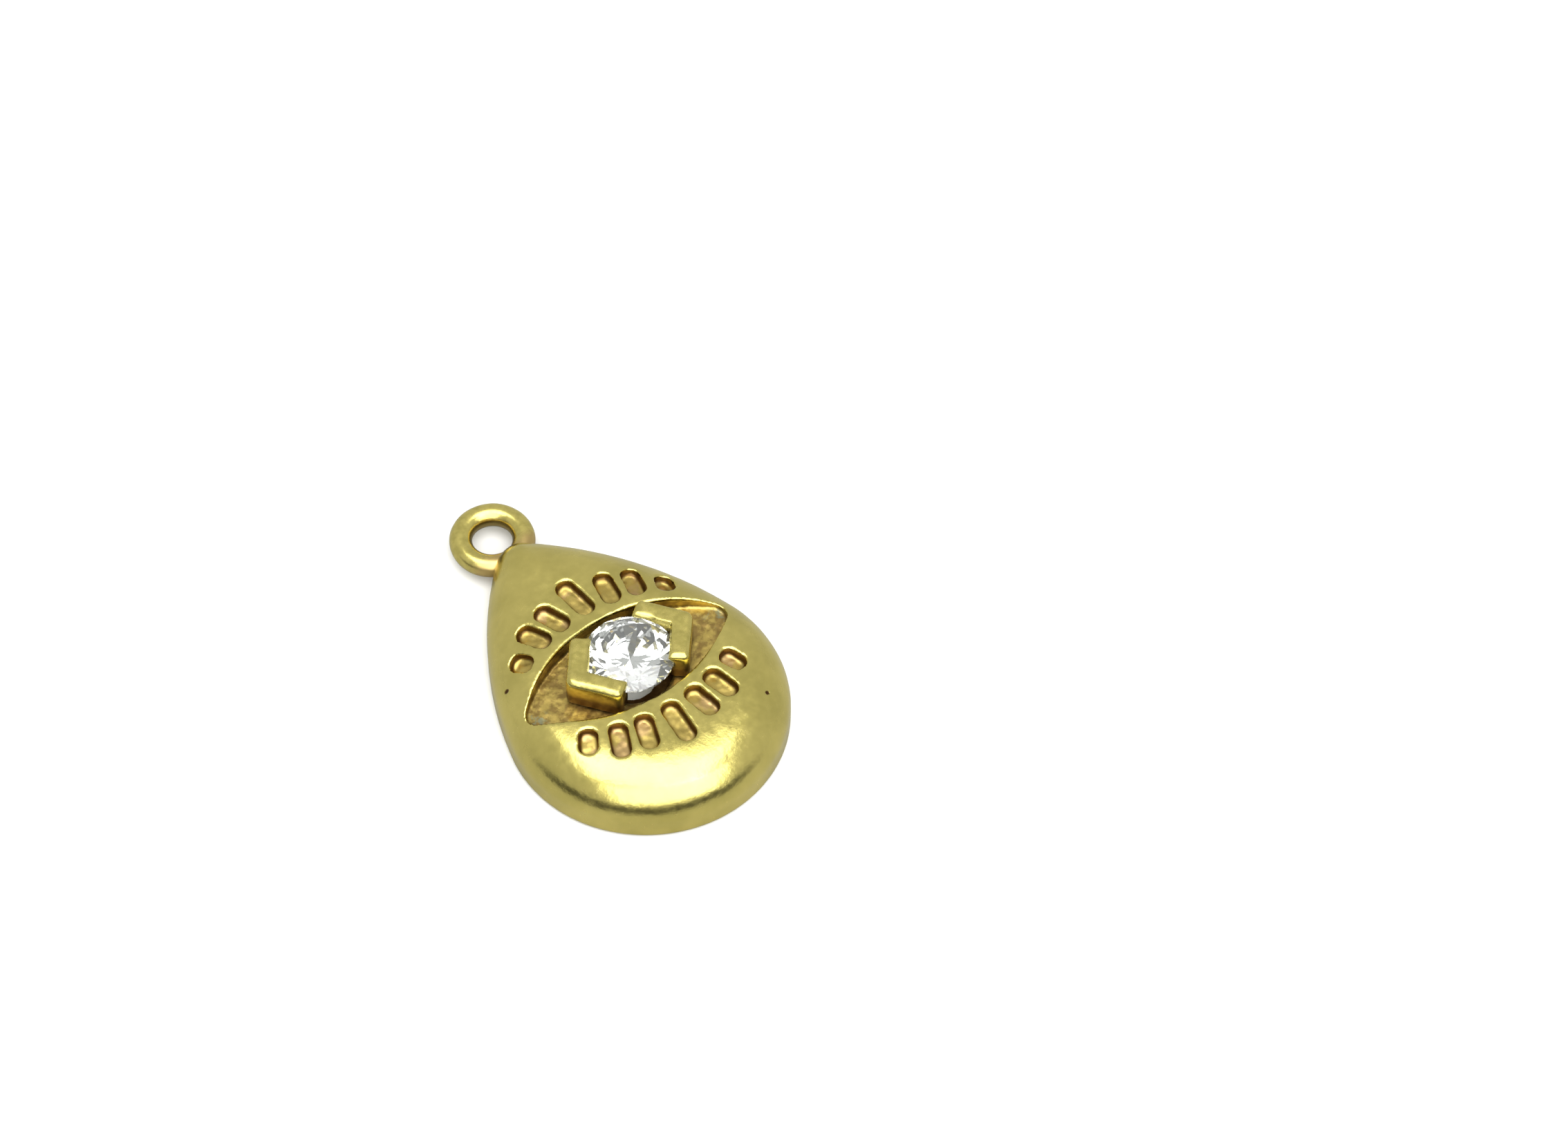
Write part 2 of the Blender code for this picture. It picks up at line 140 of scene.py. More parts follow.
# Camera: a long lens that looks down at the floor beside the charm.
VIEW_AZIMUTH = radians(-37.53)
VIEW_ELEVATION = radians(54.0)
VIEW_DISTANCE = 354.0
VIEW_AIM = (9.81, -0.62, 0.0)
LENS = 182.5

# Studio: two soft lights, a pale tent, and how dark the floor looks when mirrored in the brass.
LIGHT_DISTANCE = 0.6
OVERHEAD_ELEVATION = radians(86)
OVERHEAD_WIDTH, OVERHEAD_HEIGHT, OVERHEAD_RADIANCE = 0.62, 0.42, 3.4
FRONT_TURN = radians(18)
FRONT_ELEVATION = radians(44)
FRONT_WIDTH, FRONT_HEIGHT, FRONT_RADIANCE = 0.8, 0.5, 3.0
FLOOR_SIZE = 1.5
DARK_FLOOR_START, DARK_FLOOR_END = 12.0, 24.0

ROUND_END_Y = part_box("charm_body")[0].y / METRES + ROUND_END_RADIUS
RING_LOW, RING_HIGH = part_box("hanging_ring")
RING_MIDDLE = (RING_LOW + RING_HIGH) / 2 / METRES
RECESS_FLOOR = BODY_HEIGHT - RECESS_DEPTH
GIRDLE_HEIGHT = RECESS_FLOOR + GIRDLE_CLEARANCE
EYE_HALF_HEIGHT = STONE_RADIUS + LID_GAP
LID_RADIUS = (EYE_HALF_LENGTH**2 + EYE_HALF_HEIGHT**2) / (2 * EYE_HALF_HEIGHT)
STRAIGHT_INSET = TIP_RADIUS - TIP_CORE_RADIUS
TABLE_HEIGHT = GIRDLE_THICKNESS / 2 + tan(CROWN_ANGLE) * (STONE_RADIUS - TABLE_RADIUS)
CULET_DEPTH = GIRDLE_THICKNESS / 2 + tan(PAVILION_ANGLE) * STONE_RADIUS

CHARM_FRAME = Matrix.Translation((0, ROUND_END_Y, 0))
EYE_FRAME = CHARM_FRAME @ Matrix.Translation((0, EYE_DISTANCE, 0)) @ Matrix.Rotation(EYE_TURN, 4, "Z")
STONE_FRAME = EYE_FRAME @ Matrix.Translation((STONE_SHIFT, 0, 0))

LEFT_PRONG_FOOT = STONE_FRAME @ Vector((-2.4, -1.5, RECESS_FLOOR))
EYE_CORNERS = [EYE_FRAME @ Vector((side * 4.8, 0, RECESS_FLOOR)) for side in (-1, 1)]

OUTLINE_STEPS = 56
TIP_STEPS = 30
BACK_EDGE_STEPS = 6
SHOULDER_STEPS = 34
DOME_STEPS = 26
LID_STEPS = 90
CORNER_STEPS = 10
ROUND_STEPS = 120
FILLET_STEPS = 6
WIRE_STEPS = 64


# ---------------------------------------------------------------- shapes


def arc(centre, radius, start, end, steps):
    """Points of an arc and their outward directions, leaving out its last one."""
    angles = [start + (end - start) * step / steps for step in range(steps)]
    outward = [Vector((cos(angle), sin(angle))) for angle in angles]
    return [(Vector(centre) + radius * way, way) for way in outward]


def teardrop_outline():
    """Outline of the body, anticlockwise."""
    to_round = SIDE_RADIUS - ROUND_END_RADIUS
    to_tip = SIDE_RADIUS - TIP_RADIUS
    rise = (to_round**2 - to_tip**2 + TIP_DISTANCE**2) / (2 * TIP_DISTANCE)
    reach = sqrt(to_round**2 - rise**2)
    low = atan2(-rise, reach)
    high = atan2(TIP_DISTANCE - rise, reach)
    points = arc((0, 0), ROUND_END_RADIUS, -pi - low, low, 2 * OUTLINE_STEPS)
    points += arc((-reach, rise), SIDE_RADIUS, low, high, OUTLINE_STEPS)
    points += arc((0, TIP_DISTANCE), TIP_RADIUS, high, pi - high, TIP_STEPS)
    points += arc((reach, rise), SIDE_RADIUS, pi - high, pi - low, OUTLINE_STEPS)
    return points


def eye_outline():
    """Outline of the eye recess, anticlockwise."""
    drop = LID_RADIUS - EYE_HALF_HEIGHT
    reach = sqrt((LID_RADIUS - EYE_CORNER_RADIUS) ** 2 - drop**2)
    spread = atan2(drop, reach)
    points = arc((0, -drop), LID_RADIUS, spread, pi - spread, LID_STEPS)
    points += arc((-reach, 0), EYE_CORNER_RADIUS, pi - spread, pi + spread, CORNER_STEPS)
    points += arc((0, drop), LID_RADIUS, pi + spread, 2 * pi - spread, LID_STEPS)
    points += arc((reach, 0), EYE_CORNER_RADIUS, -spread, spread, CORNER_STEPS)
    return points


def bar_outline(length):
    """Outline of one lash pocket, anticlockwise."""
    across = LASH_WIDTH / 2 - LASH_CORNER_RADIUS
    along = length / 2 - LASH_CORNER_RADIUS
    points = []
    for quarter, (x, y) in enumerate(((1, 1), (-1, 1), (-1, -1), (1, -1))):
        start = quarter * pi / 2
        points += arc((x * across, y * along), LASH_CORNER_RADIUS, start, start + pi / 2, 8)
        end = Vector((cos(start + pi / 2), sin(start + pi / 2)))
        points.append((Vector((x * across, y * along)) + LASH_CORNER_RADIUS * end, end))
    return points


def dome_height(inset):
    """Height of the top at a distance in from the outline."""
    shoulder = 1 - min(inset / SHOULDER_WIDTH, 1)
    crown = 1 - inset / ROUND_END_RADIUS
    rise = BODY_HEIGHT - DOME_RISE - SHOULDER_START
    return SHOULDER_START + rise * sqrt(1 - shoulder**2) + DOME_RISE * (1 - crown**2)


def body_levels():
    """Pairs of inset and height, from the edge of the back over the shoulder to the top of the dome."""
    levels = []
    for step in range(BACK_EDGE_STEPS):
        angle = pi / 2 * step / BACK_EDGE_STEPS
        levels.append((BACK_EDGE_RADIUS * (1 - sin(angle)), BACK_EDGE_RADIUS * (1 - cos(angle))))
    for step in range(SHOULDER_STEPS + 1):
        inset = SHOULDER_WIDTH * (1 - cos(pi / 2 * step / SHOULDER_STEPS))
        levels.append((inset, dome_height(inset)))
    for step in range(1, DOME_STEPS):
        inset = SHOULDER_WIDTH + (ROUND_END_RADIUS - SHOULDER_WIDTH) * step / DOME_STEPS
        levels.append((inset, dome_height(inset)))
    return levels


def inset_point(point, outward, inset):
    """Point moved straight in from the outline at first, and towards the eye after that."""
    middle = Vector((0, EYE_DISTANCE))
    near = point - outward * min(inset, STRAIGHT_INSET)
    left = 1 - max(inset - STRAIGHT_INSET, 0) / (ROUND_END_RADIUS - STRAIGHT_INSET)
    return middle + (near - middle) * left


def lofted(rings):
    """A closed shape through rings of points, from its bottom ring to its top one."""
    bm = bmesh.new()
    loops = []
    for points in rings:
        verts = [bm.verts.new(point) for point in points]
        loops.append([bm.edges.new(pair) for pair in zip(verts, verts[1:] + verts[:1])])
    for lower, upper in zip(loops, loops[1:]):
        bmesh.ops.bridge_loops(bm, edges=lower + upper)
    for loop in (loops[0], loops[-1]):
        bmesh.ops.edgeloop_fill(bm, edges=loop)
    bmesh.ops.recalc_face_normals(bm, faces=bm.faces)
    return bm


def body_blank():
    """The teardrop before anything is cut."""
    outline = teardrop_outline()
    rings = []
    for inset, height in body_levels():
        flat = [inset_point(point, outward, inset) for point, outward in outline]
        rings.append([CHARM_FRAME @ Vector((point.x, point.y, height)) for point in flat])
    bm = lofted(rings)
    top = [vert for vert in bm.verts if vert.co.z > BODY_HEIGHT - 2 * DOME_RISE]
    for _ in range(CREST_SMOOTHING):
        bmesh.ops.smooth_vert(bm, verts=top, factor=0.5, use_axis_z=True)
    return bm


def pocket_levels(depth, fillet, rim):
    """Offsets and heights of a pocket cutter, from its floor over the rounded rim and out."""
    levels = []
    for step in range(FILLET_STEPS + 1):
        angle = pi / 2 * step / FILLET_STEPS
        levels.append((fillet * (sin(angle) - 1) - rim / 2, fillet * (1 - cos(angle)) - depth))
    for step in range(1, FILLET_STEPS + 1):
        angle = pi / 2 * step / FILLET_STEPS
        levels.append((rim * (0.5 - cos(angle)), rim * (1.15 * sin(angle) - 1)))
    levels.append((rim, CUT_OVERRUN))
    return levels


def lash_cutter(length):
    """Cutter of one lash pocket, with its rim at height zero."""
    rings = []
    for offset, height in pocket_levels(LASH_DEPTH, LASH_FLOOR_RADIUS, LASH_RIM_RADIUS):
        spots = [point + outward * offset for point, outward in bar_outline(length)]
        rings.append([(spot.x, spot.y, height) for spot in spots])
    return lofted(rings)


def lash_places():
    """Centre, lean and length of every lash in the frame of the eye."""
    places = []
    rows = ((1, UPPER_ROW_CUT, UPPER_ROW_SWAY), (-1, 0.0, LOWER_ROW_SWAY))
    for row, shortening, sway in rows:
        for count in range(1 - len(LASH_LENGTHS), len(LASH_LENGTHS)):
            side = -1 if count < 0 else 1
            length = LASH_LENGTHS[abs(count)]
            lean = LASH_LEANS[abs(count)] * side
            root = count * LASH_PITCH
            lid = EYE_HALF_HEIGHT - LID_RADIUS + sqrt(LID_RADIUS**2 - root**2)
            reach = LASH_GAP + length / 2
            centre = Vector((root + reach * sin(lean), row * (lid + reach * cos(lean))))
            places.append((centre, sway - lean * row, length - shortening))
    return places


def spot_on(dome, x, y):
    """Where a plumb line meets the dome, and the way the dome faces there."""
    spot, facing, _, _ = dome.ray_cast(Vector((x, y, 2 * BODY_HEIGHT)), Vector((0, 0, -1)))
    return spot, facing


def all_lashes(dome):
    """The cutters of the lash pockets, each one square to the dome."""
    joined = bpy.data.meshes.new("lashes")
    bm = bmesh.new()
    for centre, lean, length in lash_places():
        above = EYE_FRAME @ Vector((centre.x, centre.y, 0))
        spot, facing = spot_on(dome, above.x, above.y)
        tip = Vector((0, 0, 1)).rotation_difference(facing).to_matrix().to_4x4()
        cutter = lash_cutter(length)
        cutter.transform(Matrix.Translation(spot) @ tip @ Matrix.Rotation(EYE_TURN + lean, 4, "Z"))
        cutter.to_mesh(joined)
        cutter.free()
        bm.from_mesh(joined)
    return bm


def recess_cutter(dome):
    """Cutter of the eye recess: a flat floor, upright walls and a rim that follows the dome."""
    rings = []
    for offset, height in pocket_levels(RECESS_DEPTH, RECESS_FILLET, LID_RIM_RADIUS):
        ring = []
        for point, outward in eye_outline():
            flat = point + outward * offset
            spot = EYE_FRAME @ Vector((flat.x, flat.y, 0))
            top = spot_on(dome, spot.x, spot.y)[0].z
            floor = RECESS_FLOOR + height + RECESS_DEPTH
            ring.append((spot.x, spot.y, floor if floor < top - 2 * LID_RIM_RADIUS else top + height))
        rings.append(ring)
    return lofted(rings)


def upright_cylinder(radius, bottom, top):
    """A closed upright cylinder on the stone's axis."""
    bm = bmesh.new()
    middle = STONE_FRAME @ Matrix.Translation((0, 0, (bottom + top) / 2))
    bmesh.ops.create_cone(
        bm,
        cap_ends=True,
        segments=ROUND_STEPS,
        radius1=radius,
        radius2=radius,
        depth=top - bottom,
        matrix=middle,
    )
    return bm


def turned(profile, steps, place):
    """A profile of radius and height points, spun round an upright axis."""
    bm = bmesh.new()
    verts = [bm.verts.new((radius, 0, height)) for radius, height in profile]
    edges = [bm.edges.new(pair) for pair in zip(verts, verts[1:])]
    spin_round(bm, verts + edges, steps)
    bm.transform(place)
    return bm


def spin_round(bm, geom, steps):
    """Spin edges a full turn round the upright axis, and close the seam."""
    bmesh.ops.spin(
        bm,
        geom=geom,
        cent=(0, 0, 0),
        axis=(0, 0, 1),
        angle=2 * pi,
        steps=steps,
        use_merge=True,
    )
    bmesh.ops.remove_doubles(bm, verts=bm.verts, dist=WELD_DISTANCE)
    bmesh.ops.recalc_face_normals(bm, faces=bm.faces)


def ring_shape(wire):
    """A torus of the hanging ring, with the given wire radius."""
    bm = bmesh.new()
    along = Matrix.Translation((RING_RADIUS, 0, 0)) @ Matrix.Rotation(pi / 2, 4, "X")
    section = bmesh.ops.create_circle(bm, segments=WIRE_STEPS, radius=wire, matrix=along)
    edges = list({edge for vert in section["verts"] for edge in vert.link_edges})
    spin_round(bm, section["verts"] + edges, 2 * WIRE_STEPS)
    bm.transform(Matrix.Translation(RING_MIDDLE))
    return bm


def pocket_for_stone():
    """Turned cutter that clears the stone, as a setting bur would."""
    low_radius = PAVILION_TIP_SHARE * STONE_RADIUS
    low_height = tan(PAVILION_ANGLE) * low_radius * cos(pi / 8) - CULET_DEPTH
    star_radius = TABLE_RADIUS + STAR_SHARE * (STONE_RADIUS - TABLE_RADIUS)
    star_height = GIRDLE_THICKNESS / 2 + tan(CROWN_ANGLE) * (STONE_RADIUS - star_radius * cos(pi / 8))
    side = STONE_RADIUS + STONE_GAP
    profile = (
        (0, -CULET_DEPTH - 2 * STONE_GAP),
        (low_radius, low_height - 2 * STONE_GAP),
        (side, -GIRDLE_THICKNESS / 2 - STONE_GAP),
        (side, GIRDLE_THICKNESS / 2 + STONE_GAP),
        (star_radius, star_height + 2 * STONE_GAP),
        (TABLE_RADIUS, TABLE_HEIGHT + 2 * STONE_GAP),
        (0, TABLE_HEIGHT + 2 * STONE_GAP),
    )
    return turned(profile, ROUND_STEPS, STONE_FRAME @ Matrix.Translation((0, 0, GIRDLE_HEIGHT)))


def prong_shape(turn):
    """A V-shaped bar that stands on the recess floor with its corner pointing along the eye."""
    inner = STONE_RADIUS + PRONG_CORNER_GAP
    outer = inner + PRONG_WIDTH / sin(PRONG_HALF_ANGLE)
    back = Vector((-cos(PRONG_HALF_ANGLE), sin(PRONG_HALF_ANGLE)))
    across = Vector((sin(PRONG_HALF_ANGLE), cos(PRONG_HALF_ANGLE)))
    far = Vector((outer, 0)) + back * PRONG_ARM_LENGTH
    near = far - across * PRONG_WIDTH
    flip = Vector((1, -1))
    points = [Vector((outer, 0)), far, near, Vector((inner, 0)), near * flip, far * flip]
    bottom = RECESS_FLOOR + SOLDER_GAP
    top = RECESS_FLOOR + PRONG_HEIGHT
    bm = lofted([[(point.x, point.y, height) for point in points] for height in (bottom, top)])
    upright = [edge for edge in bm.edges if edge.verts[0].co.xy == edge.verts[1].co.xy]
    sides = [edge for edge in upright if edge.verts[0].co.xy.length > inner + SOLDER_GAP]
    round_edges(bm, sides, PRONG_SIDE_RADIUS)
    lid = [edge for edge in bm.edges if min(vert.co.z for vert in edge.verts) > top - SAME_HEIGHT]
    round_edges(bm, lid, PRONG_TOP_RADIUS)
    bm.transform(STONE_FRAME @ Matrix.Rotation(turn, 4, "Z"))
    return bm


def round_edges(bm, edges, radius):
    """Bevel edges to a radius."""
    bmesh.ops.bevel(
        bm,
        geom=edges,
        offset=radius,
        offset_type="OFFSET",
        segments=FILLET_STEPS,
        profile=0.5,
        affect="EDGES",
        clamp_overlap=True,
        material=-1,
    )


# ---------------------------------------------------------------- pieces


def as_object(name, bm):
    """Turn a bmesh into an object."""
    mesh = bpy.data.meshes.new(name)
    bm.to_mesh(mesh)
    bm.free()
    obj = bpy.data.objects.new(name, mesh)
    bpy.context.scene.collection.objects.link(obj)
    return obj


def carved(name, blank, cutters, cell, smoothing):
    """Cut a blank, then melt its edges to the softness of a tumbled casting."""
    obj = as_object(name, blank)
    tools = [as_object("cutter", cutter) for cutter in cutters]
    for tool in tools:
        modifier = obj.modifiers.new(tool.name, "BOOLEAN")
        modifier.operation = "DIFFERENCE"
        modifier.solver = "EXACT"
        modifier.object = tool
    melt = obj.modifiers.new("melt", "REMESH")
    melt.mode = "VOXEL"
    melt.voxel_size = cell
    relax = obj.modifiers.new("relax", "SMOOTH")
    relax.factor = 0.5
    relax.iterations = smoothing
    finished = bpy.data.meshes.new_from_object(obj.evaluated_get(bpy.context.evaluated_depsgraph_get()))
    obj.modifiers.clear()
    obj.data = finished
    for tool in tools:
        bpy.data.objects.remove(tool)
    return obj


def soft_step(value, low, high):
    """Rise smoothly from 0 to 1 between two values."""
    share = min(max((value - low) / (high - low), 0.0), 1.0)
    return share * share * (3 - 2 * share)


def unevenness(place, length, height):
    """Height of smooth random bumps at a place."""
    return height * noise.fractal(place / length, 1.0, 2.0, 3)


def write_attribute(mesh, name, values):
    """Store a number at every point."""
    attribute = mesh.attributes.new(name, "FLOAT", "POINT")
    attribute.data.foreach_set("value", values)


def roughen_body(obj, dome):
    """Wave the skin, roughen the pocket floors, sink the pits, and store how deep each point lies."""
    mesh = obj.data
    to_eye = EYE_FRAME.inverted()
    depths = []
    recess = []
    pits = []
    shifts = []
    for vert in mesh.vertices:
        place = vert.co.copy()
        spot, _ = spot_on(dome, place.x, place.y)
        depth = max(spot.z - place.z, 0.0) if spot and place.z > BODY_HEIGHT / 3 else 0.0
        eye = to_eye @ place
        inside = LID_RADIUS - Vector((eye.x, abs(eye.y) + LID_RADIUS - EYE_HALF_HEIGHT)).length
        in_recess = soft_step(inside, -0.1, 0.1)
        sunk = soft_step(depth, 0.12, 0.3)
        shift = unevenness(place, WAVE_LENGTH, WAVE_HEIGHT)
        shift += unevenness(place, DIMPLE_LENGTH, DIMPLE_HEIGHT)
        shift += sunk * in_recess * unevenness(place, FLOOR_LENGTH, FLOOR_ROUGHNESS)
        shift += sunk * (1 - in_recess) * unevenness(place, POCKET_LENGTH, POCKET_ROUGHNESS)
        away = min((place.xy - Vector(spot)).length for spot in PIT_SPOTS)
        pit = 1 - soft_step(away, 0, PIT_RADIUS) if vert.normal.z > 0 else 0.0
        shift -= PIT_DEPTH * pit
        shifts.append(vert.normal * shift * soft_step(place.z, 0.05, 0.3))
        depths.append(depth)
        recess.append(in_recess)
        pits.append(pit)
    for vert, shift in zip(mesh.vertices, shifts):
        vert.co += shift
    write_attribute(mesh, "depth", depths)
    write_attribute(mesh, "recess", recess)
    write_attribute(mesh, "pit", pits)


def wave_skin(obj, length, height):
    """Wave the skin of a small piece."""
    shifts = [vert.normal * unevenness(vert.co, length, height) for vert in obj.data.vertices]
    for vert, shift in zip(obj.data.vertices, shifts):
        vert.co += shift


def finish_piece(obj, node_names, material):
    """Bring a piece to metres, shade it smooth, give it its material and hand it to the frame."""
    obj.data.transform(Matrix.Scale(METRES, 4))
    obj.data.shade_smooth()
    obj.data.materials.clear()
    obj.data.materials.append(material)
    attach(obj, "root")
    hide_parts(*node_names)


# ---------------------------------------------------------------- materials


class Term:
    """A number that changes over a surface, so that maths on it is written as plain maths."""

    def __init__(self, finish, socket):
        self.finish = finish
        self.socket = socket

    def maths(self, operation, first, second):
        """One Math node."""
        values = {0: first, 1: second}
        node = self.finish.node("ShaderNodeMath", {"operation": operation}, values)
        return Term(self.finish, node.outputs[0])

    def __add__(self, other):
        return self.maths("ADD", self, other)

    def __radd__(self, other):
        return self.maths("ADD", other, self)

    def __sub__(self, other):
        return self.maths("SUBTRACT", self, other)

    def __rsub__(self, other):
        return self.maths("SUBTRACT", other, self)

    def __mul__(self, other):
        return self.maths("MULTIPLY", self, other)

    def __rmul__(self, other):
        return self.maths("MULTIPLY", other, self)

    def step(self, low, high):
        """Rise smoothly from 0 to 1 between two values."""
        values = {"Value": self, "From Min": low, "From Max": high}
        node = self.finish.node("ShaderNodeMapRange", {"interpolation_type": "SMOOTHSTEP"}, values)
        return Term(self.finish, node.outputs["Result"])


class Finish:
    """The nodes of one material or of the world."""

    def __init__(self, owner):
        owner.use_nodes = True
        self.tree = owner.node_tree
        self.tree.nodes.clear()

    def node(self, kind, settings=None, sockets=None):
        """Add a node, then its settings, then the values or links of its sockets."""
        node = self.tree.nodes.new(kind)
        for name, value in (settings or {}).items():
            setattr(node, name, value)
        for name, value in (sockets or {}).items():
            open_sockets = [socket for socket in node.inputs if socket.enabled]
            by_name = {socket.name: socket for socket in reversed(open_sockets)}
            socket = node.inputs[name] if isinstance(name, int) else by_name[name]
            value = value.socket if isinstance(value, Term) else value
            if isinstance(value, bpy.types.NodeSocket):
                self.tree.links.new(value, socket)
            else:
                socket.default_value = value
        return node

    def place(self):
        """Object coordinates in millimetres."""
        coordinates = self.node("ShaderNodeTexCoord").outputs["Object"]
        settings = {"operation": "SCALE"}
        sockets = {"Vector": coordinates, "Scale": 1 / METRES}
        return self.node("ShaderNodeVectorMath", settings, sockets).outputs["Vector"]

    def noise(self, place, length, detail=3.0, roughness=0.5, distortion=0.0):
        """Noise with features of a length in millimetres."""
        sockets = {
            "Vector": place,
            "Scale": 1 / length,
            "Detail": detail,
            "Roughness": roughness,
            "Distortion": distortion,
        }
        return Term(self, self.node("ShaderNodeTexNoise", {}, sockets).outputs["Fac"])

    def near(self, place, spot, inner, outer):
        """1 within the inner distance of a spot, falling to 0 at the outer one."""
        gap = self.node("ShaderNodeVectorMath", {"operation": "DISTANCE"}, {0: place, 1: spot})
        return 1 - Term(self, gap.outputs["Value"]).step(inner, outer)

    def stored(self, name):
        """A number stored at the points of the mesh."""
        settings = {"attribute_name": name, "attribute_type": "GEOMETRY"}
        return Term(self, self.node("ShaderNodeAttribute", settings).outputs["Fac"])

    def along(self, place, axis):
        """One coordinate of a place."""
        return Term(self, self.node("ShaderNodeSeparateXYZ", {}, {0: place}).outputs[axis])

    def blend(self, share, first, second):
        """A colour between two colours."""
        settings = {"data_type": "RGBA", "blend_type": "MIX"}
        sockets = {"Factor": share, "A": first, "B": second}
        node = self.node("ShaderNodeMix", settings, sockets)
        return next(socket for socket in node.outputs if socket.enabled)

    def bump(self, height, depth, strength=1.0, under=None):
        """A bump whose height term of 1 stands for a depth in millimetres."""
        sockets = {"Height": height, "Distance": depth * METRES, "Strength": strength}
        if under is not None:
            sockets["Normal"] = under
        return self.node("ShaderNodeBump", {}, sockets).outputs["Normal"]

    def surface(self, sockets):
        """The shader and the output."""
        shader = self.node("ShaderNodeBsdfPrincipled", {}, sockets)
        self.node("ShaderNodeOutputMaterial", {}, {"Surface": shader.outputs["BSDF"]})


def colour(red, green, blue):
    """A colour with full alpha."""
    return (red, green, blue, 1.0)


BRASS = colour(0.78, 0.665, 0.205)
OLIVE_BRASS = colour(0.64, 0.55, 0.16)
# Brown for the tarnish on the recess floor, and also for the painted shade on the ring's inner side.
BROWN_TARNISH_AND_SHADE = colour(0.24, 0.14, 0.045)
# Near-black for the dirt in the pits, and also for painted shade on the pocket walls, in the seat hole,
# round the left prong's foot and on the lower prongs.
DARK_TARNISH_AND_SHADE = colour(0.1, 0.045, 0.015)
COPPER_BLUSH = colour(0.56, 0.35, 0.17)
ORANGE_BRASS = colour(0.5, 0.36, 0.1)
VERDIGRIS = colour(0.3, 0.36, 0.24)


def cast_brass():
    """Tumbled cast brass: mottled on the dome, rough, brown and blushed in the pockets, with painted shade
    on the pocket walls, in the seat hole under the stone and round the left prong's foot.
    """
    material = bpy.data.materials.new("cast_brass")
    finish = Finish(material)
    place = finish.place()
    patches = finish.noise(place, 2.4, 3.0)
    mottle = finish.noise(place, 0.42, 4.0, 0.6)
    grain = finish.noise(place, 0.1, 3.0, 0.6)
    depth = finish.stored("depth")
    recess = finish.stored("recess")
    sunk = depth.step(0.08, 0.32)
    floor = sunk * recess
    pocket = sunk * (1 - recess)
    shade = 0.75 * patches.step(0.35, 0.65) + 0.25 * mottle.step(0.35, 0.65)
    skin = finish.blend(shade, OLIVE_BRASS, BRASS)
    blush = finish.noise(place, 1.1, 2.0).step(0.5, 0.62)
    pocket_tone = finish.blend(blush, ORANGE_BRASS, COPPER_BLUSH)
    stain = finish.noise(place, 0.5, 4.0, 0.65).step(0.42, 0.6)
    floor_tone = finish.blend(stain, BROWN_TARNISH_AND_SHADE, ORANGE_BRASS)
    tone = finish.blend(pocket * 0.75, skin, pocket_tone)
    tone = finish.blend(floor * 0.85, tone, floor_tone)
    # Painted shade: a dark patch on the recess floor round the foot of the left prong.
    prong_foot_shade = finish.near(place, LEFT_PRONG_FOOT, 0.6, 1.5) * finish.noise(place, 0.4, 3.0).step(0.35, 0.6)
    tone = finish.blend(floor * prong_foot_shade * 0.6, tone, DARK_TARNISH_AND_SHADE)
    crust = finish.noise(place, 0.3, 3.0).step(0.5, 0.62)
    for corner in EYE_CORNERS:
        tone = finish.blend(floor * crust * finish.near(place, corner, 0.2, 0.8) * 0.6, tone, VERDIGRIS)
    # Painted shade: a dark band down the walls of the lash pockets, below their rims.
    pocket_wall_shade = depth.step(0.04, 0.12) * (1 - depth.step(0.36, 0.46)) * (1 - recess)
    tone = finish.blend(pocket_wall_shade * 0.9, tone, DARK_TARNISH_AND_SHADE)
    # Painted shade: near-black in the seat hole below the recess floor, under the stone.
    seat_hole_shade = recess * depth.step(RECESS_DEPTH + 0.05, RECESS_DEPTH + 0.3)
    tone = finish.blend(seat_hole_shade * 0.9, tone, DARK_TARNISH_AND_SHADE)
    tone = finish.blend(finish.stored("pit").step(0.1, 0.6), tone, DARK_TARNISH_AND_SHADE)
    roughness = 0.16 + 0.1 * mottle.step(0.25, 0.8) + 0.16 * sunk + 0.05 * grain
    normal = finish.bump(finish.noise(place, 0.2, 4.0, 0.6), 0.008, 1.0)
    finish.surface({"Base Color": tone, "Metallic": 1.0, "Roughness": roughness, "Normal": normal})
    return material


def prong_brass():
    """Brass of the prongs: plain on the top, with a painted dark reflection of the recess that turns them
    brown, then near-black, towards the foot.
    """
    material = bpy.data.materials.new("prong_brass")
    finish = Finish(material)
    place = finish.place()
    height = finish.along(place, "Z")
    mottle = finish.noise(place, 0.35, 4.0, 0.6)
    # Painted dark reflection of the recess: the lower part of each prong turns brown, then near-black
    # nearest the floor.
    prong_foot_shade = 1 - (height + 0.4 * mottle).step(RECESS_FLOOR + 0.75, RECESS_FLOOR + 1.55)
    tone = finish.blend(mottle.step(0.35, 0.65), OLIVE_BRASS, BRASS)
    rising = (height - RECESS_FLOOR).step(0.45, 0.85)
    tone = finish.blend(prong_foot_shade * 0.95, tone, finish.blend(rising, DARK_TARNISH_AND_SHADE, ORANGE_BRASS))
    roughness = 0.22 + 0.1 * mottle + 0.12 * prong_foot_shade
    normal = finish.bump(finish.noise(place, 0.18, 3.0), 0.004)
    finish.surface({"Base Color": tone, "Metallic": 1.0, "Roughness": roughness, "Normal": normal})
    return material


